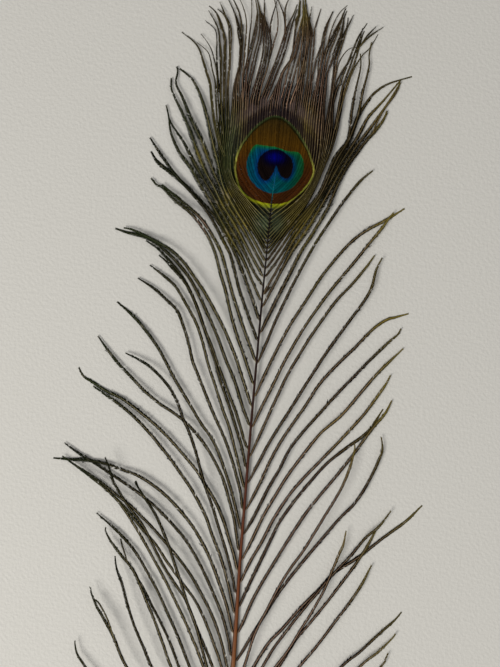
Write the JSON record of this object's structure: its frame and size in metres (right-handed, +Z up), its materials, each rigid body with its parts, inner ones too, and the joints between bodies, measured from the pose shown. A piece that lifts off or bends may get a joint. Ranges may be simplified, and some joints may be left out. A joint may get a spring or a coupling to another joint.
{
  "type": "peacock feather",
  "caption": "Long eyed tail covert lying on its back: a slender shaft with loose barbs on both sides, a close oval web with an eyespot, and a fringed crest.",
  "frame": {"origin": "on the flat underside of the shaft, where the bare quill ends and the vane begins", "axes": "+Y along the shaft from the quill to the crest, +Z up out of the patterned side, +X to the right when looking down with the crest ahead"},
  "size_m": [0.1869, 0.499, 0.0088],
  "materials": {
    "feather": "silky olive-brown barbs with an iridescent eyespot"
  },
  "bodies": {
    "root": {"feather": "feather"}
  },
  "joints": []
}
